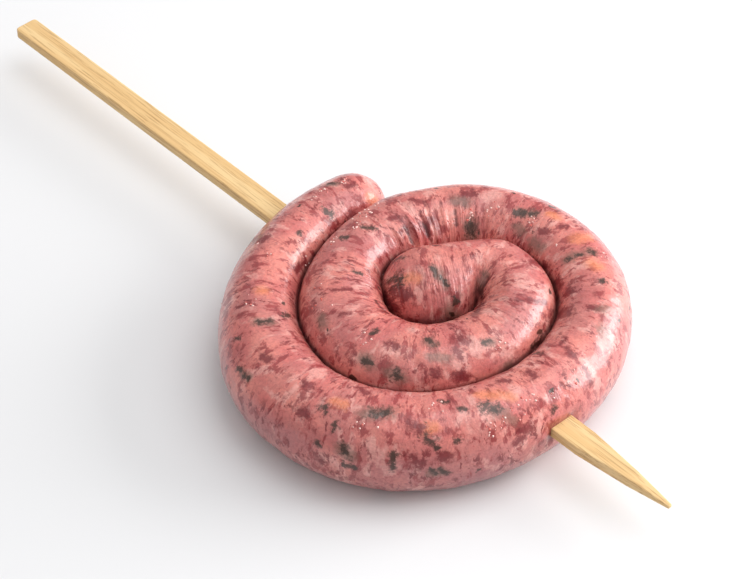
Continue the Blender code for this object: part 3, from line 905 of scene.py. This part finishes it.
def casing_finish():
    """Coarse raw mince with herbs, seen through a thin wet casing, with painted shade in its
    creases and folds, round the skewer and on its lower side.
    """
    n = Nodes("raw_mince_in_casing")
    straight = n.attribute("straight", "Vector")
    across = n.shifted(straight, NO_SHIFT, AROUND_TUBE)
    torn = n.warped(across, *TEAR)
    fray = n.noise(n.warped(straight, *FRAY_WARP), *FRAY)
    torn_edge = n.noise(n.warped(straight, *EDGE_WARP), *TORN_EDGE)
    height = n.add("ShaderNodeSeparateXYZ", {0: straight}).outputs["Z"]

    colour = n.mix(n.layer(straight, *ROSE_LAYER), SALMON, ROSE)
    dull = n.times(n.layer(n.shifted(straight, DULL_SHIFT), *DULL_LAYER), DULL_SHARE)
    # Painted shade: the mauve, also a random dull tone of the meat, is laid on the tube's lower
    # side
    low_side_shade = n.times(n.ramp(height, *LOW_SIDE_SHADE), LOW_SIDE_SHADE_SHARE)
    colour = n.mix(n.math("ADD", dull, low_side_shade, clamp=True), colour, MAUVE)

    fat = n.times(n.layer(n.shifted(torn, FAT_SHIFT), *FAT_LAYER), FAT_SHARE)
    colour = n.mix(n.math("MAXIMUM", fat, n.stroke("fat", fray)), colour, PALE_FAT)
    colour = n.mix(n.times(n.layer(torn, *LEAN_LAYER), LEAN_SHARE), colour, LEAN_RED)
    groups = n.layer(n.shifted(straight, GROUP_SHIFT), *SPECK_GROUPS)
    specks = n.layer(n.shifted(torn, SPECK_SHIFT), *SPECK_LAYER)
    colour = n.mix(n.times(n.times(specks, groups), SPECK_SHARE), colour, MAROON)
    veins = n.noise(n.warped(across, *VESSEL_WARP), *VESSELS)
    from_middle = n.math("ABSOLUTE", n.math("SUBTRACT", veins, NOISE_MIDDLE))
    vessels = n.ramp(from_middle, *VESSEL_WIDTH)
    colour = n.mix(n.times(vessels, VESSEL_SHARE), colour, LEAN_RED)

    colour = n.mix(n.stroke("orange", fray), colour, ORANGE)
    colour = n.mix(n.stroke("lean", torn_edge), colour, MAROON)
    colour = n.mix(n.stroke("grey", fray), colour, GREY_GREEN)
    leaves = n.times(n.cells(n.warped(straight, *LEAF_WARP), *LEAF_CELLS), LEAF_SHARE)
    colour = n.mix(n.math("MAXIMUM", n.stroke("herb", torn_edge), leaves), colour, HERB)
    # Painted shade in deep red: around the skewer's dimples, in the creases between turns and
    # along the folds
    skewer_shade = n.times(n.attribute("skewer_shade"), PIERCED_SHADE)
    painted_shade = n.math("MAXIMUM", skewer_shade, n.times(n.attribute("crease"), CREASE_SHADE))
    painted_shade = n.math("MAXIMUM", painted_shade, n.stroke("fold", torn_edge))
    colour = n.mix(painted_shade, colour, DEEP_RED)
    grain = n.noise(straight, *GRAIN)
    colour = n.mix(n.ramp(grain, *GRAIN_RANGE), colour, GRAIN_TINT, "MULTIPLY")

    n.feed(n.shader.inputs["Base Color"], colour)
    n.set(Roughness=0.42, Subsurface_Weight=0.14, Subsurface_Radius=(1.0, 0.35, 0.25),
          Subsurface_Scale=0.0008, Coat_Weight=0.90, Coat_Roughness=0.235, Specular_IOR_Level=0.25)
    creased = n.math("ADD", n.times(n.attribute("pleated"), PLEATED_BUMP), PLAIN_BUMP)
    creases = n.noise(n.shifted(straight, NO_SHIFT, FINE_CREASE_STRETCH), *FINE_CREASES)
    bumps = n.math("ADD", n.noise(torn, *BITS), n.times(creases, creased))
    normal = n.bump(n.math("ADD", n.times(grain, GRAIN_BUMP), bumps), *CASING_BUMP)
    n.feed(n.shader.inputs["Normal"], normal)
    n.feed(n.shader.inputs["Coat Normal"], normal)
    return n.material


def bead_finish():
    """Tiny wet beads of fat and spice under the casing."""
    n = Nodes("wet_beads")
    colour = n.mix(n.ramp(n.attribute("tone"), *BEAD_TONES), FAT_BEAD, SPICE_BEAD)
    n.feed(n.shader.inputs["Base Color"], colour)
    n.set(Roughness=0.16, Coat_Weight=1.0, Coat_Roughness=0.06)
    return n.material


def bamboo_finish():
    """Split bamboo: pale, with fine fibres along the stick, and darker deep red towards its
    middle, inside the coil.
    """
    n = Nodes("split_bamboo")
    place = n.add("ShaderNodeTexCoord").outputs["Object"]
    bands = n.layer(n.shifted(place, BAND_SHIFT, BAND_STRETCH), *BAND_LAYER)
    colour = n.mix(bands, BAMBOO, BAMBOO_BAND)
    fibres = n.noise(n.shifted(place, NO_SHIFT, FIBRE_STRETCH), *FIBRES)
    colour = n.mix(n.times(n.ramp(fibres, *FIBRE_RANGE), FIBRE_SHARE), colour, BAMBOO_FIBRE)
    pores = n.layer(n.shifted(place, PORE_SHIFT, PORE_STRETCH), *PORE_LAYER)
    colour = n.mix(n.times(pores, PORE_SHARE), colour, BAMBOO_PORE)
    from_middle = n.math("ABSOLUTE", n.add("ShaderNodeSeparateXYZ", {0: place}).outputs["X"])
    colour = n.mix(n.ramp(from_middle, *MIDDLE_DARKENING), colour, DEEP_RED)
    n.feed(n.shader.inputs["Base Color"], colour)
    n.set(Roughness=0.65, Specular_IOR_Level=0.3)
    n.feed(n.shader.inputs["Normal"], n.bump(fibres, *BAMBOO_BUMP))
    return n.material


def floor_and_light():
    bpy.ops.mesh.primitive_plane_add(size=FLOOR_SIZE, location=(0.0, 0.0, FLOOR_LEVEL))
    floor = bpy.context.object
    floor.name = "table_top"
    n = Nodes("pale_table")
    n.set(Base_Color=PALE_TABLE, Roughness=0.7, Specular_IOR_Level=0.2)
    floor.data.materials.append(n.material)
    world = bpy.data.worlds.new("studio")
    world.use_nodes = True
    sky = world.node_tree.nodes
    direction = sky.new("ShaderNodeTexCoord")
    parts = sky.new("ShaderNodeSeparateXYZ")
    rise = sky.new("ShaderNodeMapRange")
    rise.inputs["To Min"].default_value = SKY_AT_SIDES
    rise.inputs["To Max"].default_value = SKY_ABOVE
    links = world.node_tree.links
    links.new(direction.outputs["Generated"], parts.inputs[0])
    links.new(parts.outputs["Z"], rise.inputs["Value"])
    links.new(rise.outputs[0], sky["Background"].inputs["Strength"])
    sky["Background"].inputs["Color"].default_value = (1.0, 1.0, 1.0, 1.0)
    bpy.context.scene.world = world
    for name, (place, size, power) in LAMPS.items():
        lamp(name, place, size, power)
    bpy.context.scene.view_settings.view_transform = "Standard"


def lamp(name, place, size, power):
    data = bpy.data.lights.new(name, "AREA")
    data.shape = "RECTANGLE"
    data.size, data.size_y = size
    data.energy = power
    light = bpy.data.objects.new(name, data)
    light.location = place
    aim = LAMP_AIM - light.location
    light.rotation_euler = aim.to_track_quat("-Z", "Y").to_euler()
    bpy.context.scene.collection.objects.link(light)


def set_camera():
    data = bpy.data.cameras.new("view")
    data.lens = CAMERA_LENS
    data.sensor_width = CAMERA_SENSOR
    camera = bpy.data.objects.new("view", data)
    camera.matrix_world = Matrix.Translation(CAMERA_PLACE) @ camera_turn().to_4x4()
    bpy.context.scene.collection.objects.link(camera)
    bpy.context.scene.camera = camera


def main():
    draw = random.Random(SEED)
    tube = Tube(Route())
    shape_casing(tube)
    # the fold strokes are painted shade along the folds
    for name, strokes in (("herb", HERBS), ("grey", GREY_PATCHES), ("lean", LEAN_PATCHES),
                          ("orange", ORANGE_PATCHES), ("fat", FAT_PATCHES), ("fold", FOLD_SHADE_STROKES)):
        paint_strokes(tube, name, strokes, HIDDEN_STROKES[name], draw)
    tube.mesh.shade_smooth()
    skin = add_piece("sausage_skin", tube.mesh)
    skin.data.materials.append(casing_finish())
    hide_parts("sausage")
    beads = build_beads(tube, draw)
    beads.data.materials.append(bead_finish())
    for piece in (skin, beads):
        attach(piece, "root")
    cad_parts["skewer"].data.materials[0] = bamboo_finish()
    floor_and_light()
    set_camera()


main()
